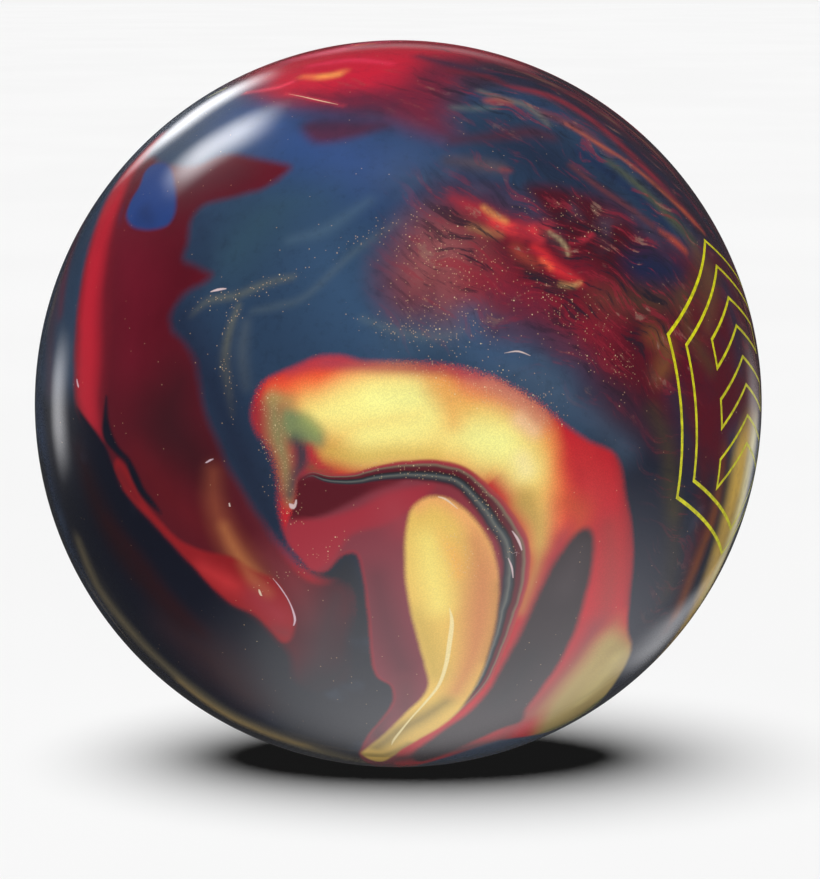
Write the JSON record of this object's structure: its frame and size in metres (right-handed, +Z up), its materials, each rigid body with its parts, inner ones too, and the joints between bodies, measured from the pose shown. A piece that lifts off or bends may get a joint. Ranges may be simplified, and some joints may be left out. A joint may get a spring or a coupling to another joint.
{
  "type": "bowling ball",
  "caption": "Drilled ten-pin bowling ball: swirled pearl shell around a filler, a weight block with a flip block, a locator pin, soft finger inserts and a thumb slug.",
  "frame": {"origin": "centre of the ball", "axes": "+Z up, -Z towards the point the ball rests on, +X towards the emblem's side, +Y towards the grip's side"},
  "size_m": [0.216, 0.216, 0.216],
  "materials": {
    "coverstock": "polished pearl reactive urethane, navy, crimson and gold swirled together",
    "filler_core": "cast polyester with glass bubbles",
    "weight_block": "cast resin loaded with barium sulphate",
    "flip_block": "denser cast resin",
    "locator_pin": "cast plug, polished flush with the shell",
    "mass_bias_pin": "cast plug, polished flush with the shell",
    "cg_mark": "poured dot, polished flush with the shell",
    "middle_finger_insert": "soft vinyl grip",
    "ring_finger_insert": "soft vinyl grip",
    "thumb_slug": "turned urethane slug, sanded flush",
    "emblem_inlay": "yellow paint in engraved lines"
  },
  "bodies": {
    "root": {"coverstock": "coverstock", "filler_core": "filler_core", "weight_block": "weight_block", "flip_block": "flip_block", "locator_pin": "locator_pin", "mass_bias_pin": "mass_bias_pin", "cg_mark": "cg_mark", "middle_finger_insert": "middle_finger_insert", "ring_finger_insert": "ring_finger_insert", "thumb_slug": "thumb_slug", "emblem_inlay": "emblem_inlay"}
  },
  "joints": []
}
